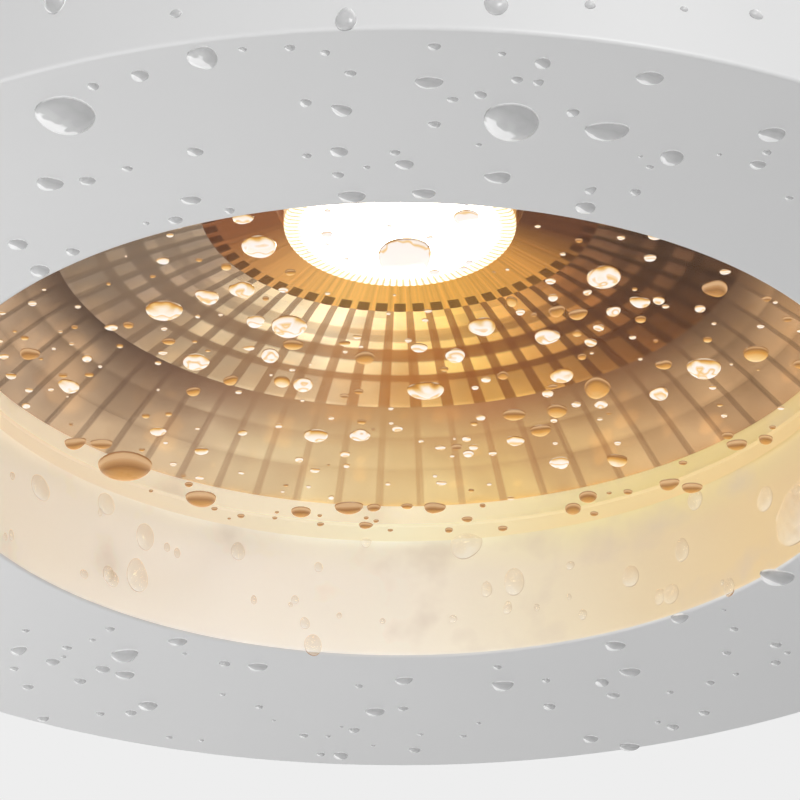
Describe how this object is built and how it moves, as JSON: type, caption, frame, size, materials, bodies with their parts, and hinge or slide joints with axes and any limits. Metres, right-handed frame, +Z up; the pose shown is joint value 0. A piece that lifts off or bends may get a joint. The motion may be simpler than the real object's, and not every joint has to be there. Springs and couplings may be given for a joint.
{
  "type": "outdoor ceiling light",
  "caption": "White surface-mounted cylinder downlight with a flat ring face, a recessed clear glass and a faceted bronze reflector, on a twist-off ceiling base.",
  "frame": {"origin": "centre of the base's flat face on the ceiling", "axes": "+Z up into the ceiling, the light shines towards -Z; +X along the line of the two ceiling screws"},
  "size_m": [0.11, 0.11, 0.095],
  "materials": {
    "white_coat": "fine-textured white powder coat",
    "clear_glass": "clear toughened glass, wet",
    "clear_silicone": "translucent silicone",
    "bronze_metallised": "metallised bronze-tinted facets",
    "lit_diffuser": "opal diffuser, lit",
    "white_plastic": "moulded white polycarbonate",
    "zinc_steel": "zinc-plated steel",
    "white_ceramic": "alumina LED substrate",
    "yellow_phosphor": "phosphor gel",
    "grey_silicone_pad": "soft thermal pad",
    "bare_aluminium": "bare pressed aluminium",
    "black_plastic": "moulded black polyamide",
    "lead_insulation": "silicone lead insulation, one colour for each lead",
    "cast_aluminium": "die-cast aluminium",
    "grey_foam_rubber": "closed-cell foam rubber",
    "black_rubber": "black rubber",
    "ivory_plastic": "moulded ivory polyamide",
    "brass": "nickel-free turned brass",
    "green_yellow_insulation": "green and yellow lead insulation",
    "circuit_board": "green solder mask",
    "copper_winding": "taped copper winding",
    "dark_sleeve": "capacitor sleeve"
  },
  "bodies": {
    "ceiling_base": {"base_plate": "cast_aluminium", "bayonet_ring": "cast_aluminium", "ring_screws": "zinc_steel", "base_gasket": "grey_foam_rubber", "base_o_ring": "black_rubber", "cable_grommet": "black_rubber", "terminal_block": "ivory_plastic", "terminal_screws": "brass", "earth_screw": "brass", "earth_lead": "green_yellow_insulation", "mains_leads": "lead_insulation", "driver_case": "white_plastic", "driver_cover": "white_plastic", "driver_screws": "zinc_steel", "driver_board": "circuit_board", "driver_transformer": "copper_winding", "driver_capacitors": "dark_sleeve", "dc_socket": "black_plastic"},
    "light_head": {"housing": "white_coat", "glass_lens": "clear_glass", "lens_seal": "clear_silicone", "reflector": "bronze_metallised", "light_disc": "lit_diffuser", "led_holder": "white_plastic", "led_holder_screws": "zinc_steel", "led_board": "white_ceramic", "led_emitter": "yellow_phosphor", "thermal_pad": "grey_silicone_pad", "heat_sink": "bare_aluminium", "heat_sink_screws": "zinc_steel", "plug_holder": "white_plastic", "plug_holder_screws": "zinc_steel", "dc_plug": "black_plastic", "led_leads": "lead_insulation"}
  },
  "joints": [
    {"name": "housing_twist", "type": "hinge", "parent": "ceiling_base", "child": "light_head", "pos_m": [0, 0, 0], "axis": [0, 0, -1], "range_deg": [0, 28]}
  ]
}
